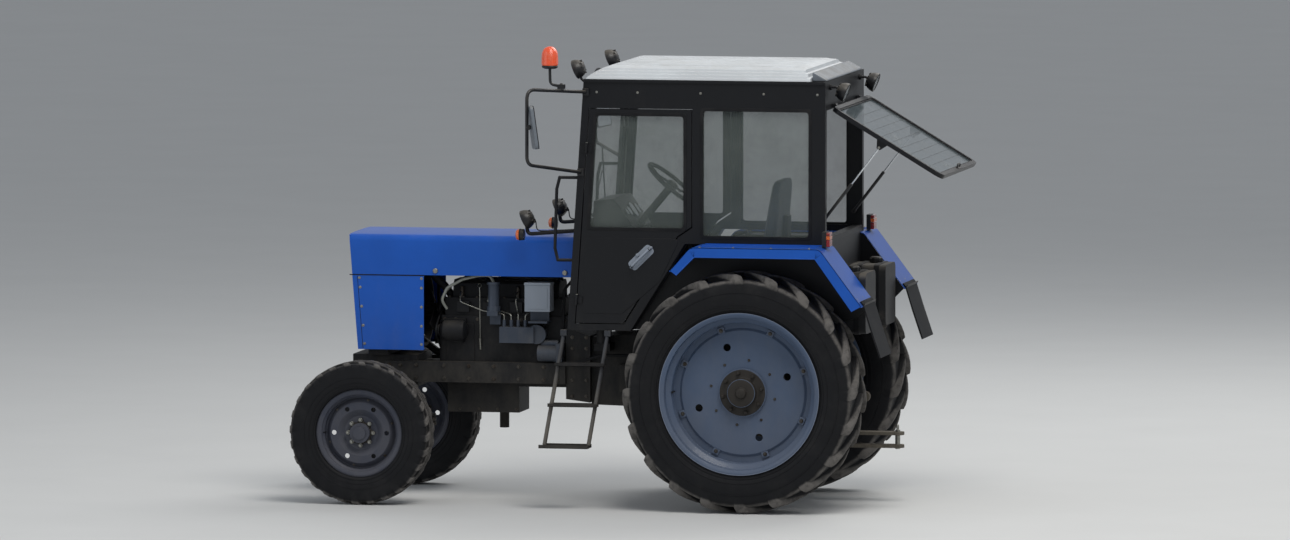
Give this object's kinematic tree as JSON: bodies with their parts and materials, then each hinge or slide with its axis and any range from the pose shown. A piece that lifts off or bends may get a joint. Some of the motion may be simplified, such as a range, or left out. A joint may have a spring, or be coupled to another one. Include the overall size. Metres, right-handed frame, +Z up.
{
  "type": "aircraft pushback tractor",
  "caption": "Wheeled towing tractor for aircraft, built on a farm tractor: open engine bay, glazed cab with ladder, large lugged rear wheels, steered front wheels and a raised rear window.",
  "frame": {"origin": "on the ground, under the middle of the tractor's length and width", "axes": "+X forward, +Y to the left, +Z up"},
  "size_m": [4.1284, 2.2486, 2.8957],
  "materials": {
    "chassis_paint": "worn dark paint, dusty",
    "engine_paint": "dark painted castings, oily and dusty",
    "hitch_steel": "worn black paint",
    "bright_metal": "bare cast aluminium",
    "black_metal": "matt black",
    "blue_paint": "gloss blue paint",
    "lamp_glass": "clear lamp lens",
    "cab_paint": "satin blue-black paint",
    "bright_rod": "polished",
    "white_paint": "satin white paint",
    "cab_glass": "clear safety glass",
    "cab_plastic": "matt",
    "seat_fabric": "dark blue cloth",
    "flap_rubber": "matt, dusty",
    "tank_plastic": "matt",
    "lamp_plastic": "translucent amber and red",
    "lamp_black": "satin black housing, clear lens",
    "front_rim_paint": "dark grey paint, dusty",
    "rear_rim_paint": "light blue-grey paint, dusty",
    "tyre": "matt, dusty on the tread"
  },
  "bodies": {
    "chassis": {"half_frame": "chassis_paint", "front_axle": "chassis_paint", "engine": "engine_paint", "engine_fittings": "bright_metal", "exhaust_pipe": "engine_paint", "radiator": "black_metal", "nose": "blue_paint", "grille": "black_metal", "headlamps": "lamp_glass", "gearbox": "engine_paint", "rear_axle": "engine_paint", "tow_bracket": "hitch_steel", "cab_frame": "cab_paint", "cab_tub": "cab_paint", "cab_roof": "white_paint", "cab_glass": "cab_glass", "console": "cab_plastic", "steering_wheel": "cab_plastic", "seat": "seat_fabric", "fenders": "blue_paint", "mud_flaps": "flap_rubber", "fuel_tanks": "tank_plastic", "signal_lamps": "lamp_plastic", "work_lamps": "lamp_black", "beacon": "lamp_plastic", "mirrors": "cab_paint", "handrails": "cab_paint", "ladder": "cab_paint"},
    "hood": {"hood": "blue_paint"},
    "door_left": {"door_left": "cab_paint", "door_left_glass": "cab_glass"},
    "door_right": {"door_right": "cab_paint", "door_right_glass": "cab_glass"},
    "rear_window": {"rear_window": "cab_paint", "rear_window_glass": "cab_glass"},
    "strut_tube_left": {"strut_tube_left": "cab_paint"},
    "strut_tube_right": {"strut_tube_right": "cab_paint"},
    "strut_rod_left": {"strut_rod_left": "bright_rod"},
    "strut_rod_right": {"strut_rod_right": "bright_rod"},
    "pitman": {"pitman_arm": "chassis_paint"},
    "tie_rod_left": {"tie_rod_left": "chassis_paint"},
    "tie_rod_right": {"tie_rod_right": "chassis_paint"},
    "knuckle_left": {"knuckle_left": "chassis_paint"},
    "knuckle_right": {"knuckle_right": "chassis_paint"},
    "wheel_front_left": {"rim_front_left": "front_rim_paint", "tyre_front_left": "tyre"},
    "wheel_front_right": {"rim_front_right": "front_rim_paint", "tyre_front_right": "tyre"},
    "wheel_rear_left": {"rim_rear_left": "rear_rim_paint", "tyre_rear_left": "tyre"},
    "wheel_rear_right": {"rim_rear_right": "rear_rim_paint", "tyre_rear_right": "tyre"}
  },
  "joints": [
    {"name": "steer_left", "type": "hinge", "parent": "chassis", "child": "knuckle_left", "pos_m": [1.615, 0.554, 0.62], "axis": [0, 0, 1], "range_deg": [-30, 30]},
    {"name": "steer_right", "type": "hinge", "parent": "chassis", "child": "knuckle_right", "pos_m": [1.615, -0.554, 0.62], "axis": [0, 0, 1], "range_deg": [-30, 30]},
    {"name": "pitman_turn", "type": "hinge", "parent": "chassis", "child": "pitman", "pos_m": [1.465, 0, 0.62], "axis": [0, 0, 1], "range_deg": [-30, 30]},
    {"name": "tie_rod_left_turn", "type": "hinge", "parent": "pitman", "child": "tie_rod_left", "pos_m": [1.315, 0, 0.451], "axis": [0, 0, 1], "range_deg": [-30, 30]},
    {"name": "tie_rod_right_turn", "type": "hinge", "parent": "pitman", "child": "tie_rod_right", "pos_m": [1.315, 0, 0.479], "axis": [0, 0, 1], "range_deg": [-30, 30]},
    {"name": "front_wheel_left_roll", "type": "hinge", "parent": "knuckle_left", "child": "wheel_front_left", "pos_m": [1.615, 0.7, 0.45], "axis": [0, 1, 0], "continuous": true},
    {"name": "front_wheel_right_roll", "type": "hinge", "parent": "knuckle_right", "child": "wheel_front_right", "pos_m": [1.615, -0.7, 0.45], "axis": [0, 1, 0], "continuous": true},
    {"name": "rear_wheel_left_roll", "type": "hinge", "parent": "chassis", "child": "wheel_rear_left", "pos_m": [-0.835, 0.75, 0.75], "axis": [0, 1, 0], "continuous": true},
    {"name": "rear_wheel_right_roll", "type": "hinge", "parent": "chassis", "child": "wheel_rear_right", "pos_m": [-0.835, -0.75, 0.75], "axis": [0, 1, 0], "continuous": true},
    {"name": "door_left_hinge", "type": "hinge", "parent": "chassis", "child": "door_left", "pos_m": [0.21867, 0.662, 1.8], "axis": [0.0665, 0, -0.9978], "range_deg": [0, 75]},
    {"name": "door_right_hinge", "type": "hinge", "parent": "chassis", "child": "door_right", "pos_m": [0.21867, -0.662, 1.8], "axis": [-0.0665, 0, 0.9978], "range_deg": [0, 75]},
    {"name": "hood_hinge", "type": "hinge", "parent": "chassis", "child": "hood", "pos_m": [0.287, 0, 1.64], "axis": [0, -1, 0], "range_deg": [0, 50]},
    {"name": "rear_window_hinge", "type": "hinge", "parent": "chassis", "child": "rear_window", "pos_m": [-1.345, 0, 2.52], "axis": [0, 1, 0], "range_deg": [-59, 0]},
    {"name": "strut_left_swing", "type": "hinge", "parent": "chassis", "child": "strut_tube_left", "pos_m": [-1.28, 0.548, 1.79], "axis": [0, 1, 0], "range_deg": [-0.5, 38]},
    {"name": "strut_left_slide", "type": "slide", "parent": "strut_tube_left", "child": "strut_rod_left", "axis": [-0.6099, 0, 0.7925], "range_m": [-0.28, 0.002]},
    {"name": "strut_right_swing", "type": "hinge", "parent": "chassis", "child": "strut_tube_right", "pos_m": [-1.28, -0.548, 1.79], "axis": [0, 1, 0], "range_deg": [-0.5, 38]},
    {"name": "strut_right_slide", "type": "slide", "parent": "strut_tube_right", "child": "strut_rod_right", "axis": [-0.6099, 0, 0.7925], "range_m": [-0.28, 0.002]}
  ],
  "couplings": [
    {"joint": "steer_right", "follows": "steer_left", "ratio": 1},
    {"joint": "pitman_turn", "follows": "steer_left", "ratio": 1},
    {"joint": "tie_rod_left_turn", "follows": "steer_left", "ratio": -1},
    {"joint": "tie_rod_right_turn", "follows": "steer_left", "ratio": -1},
    {"joint": "strut_left_swing", "follows": "rear_window_hinge", "ratio": -0.6085},
    {"joint": "strut_left_slide", "follows": "rear_window_hinge", "m_per_rad": 0.26033},
    {"joint": "strut_right_swing", "follows": "rear_window_hinge", "ratio": -0.6085},
    {"joint": "strut_right_slide", "follows": "rear_window_hinge", "m_per_rad": 0.26033}
  ]
}
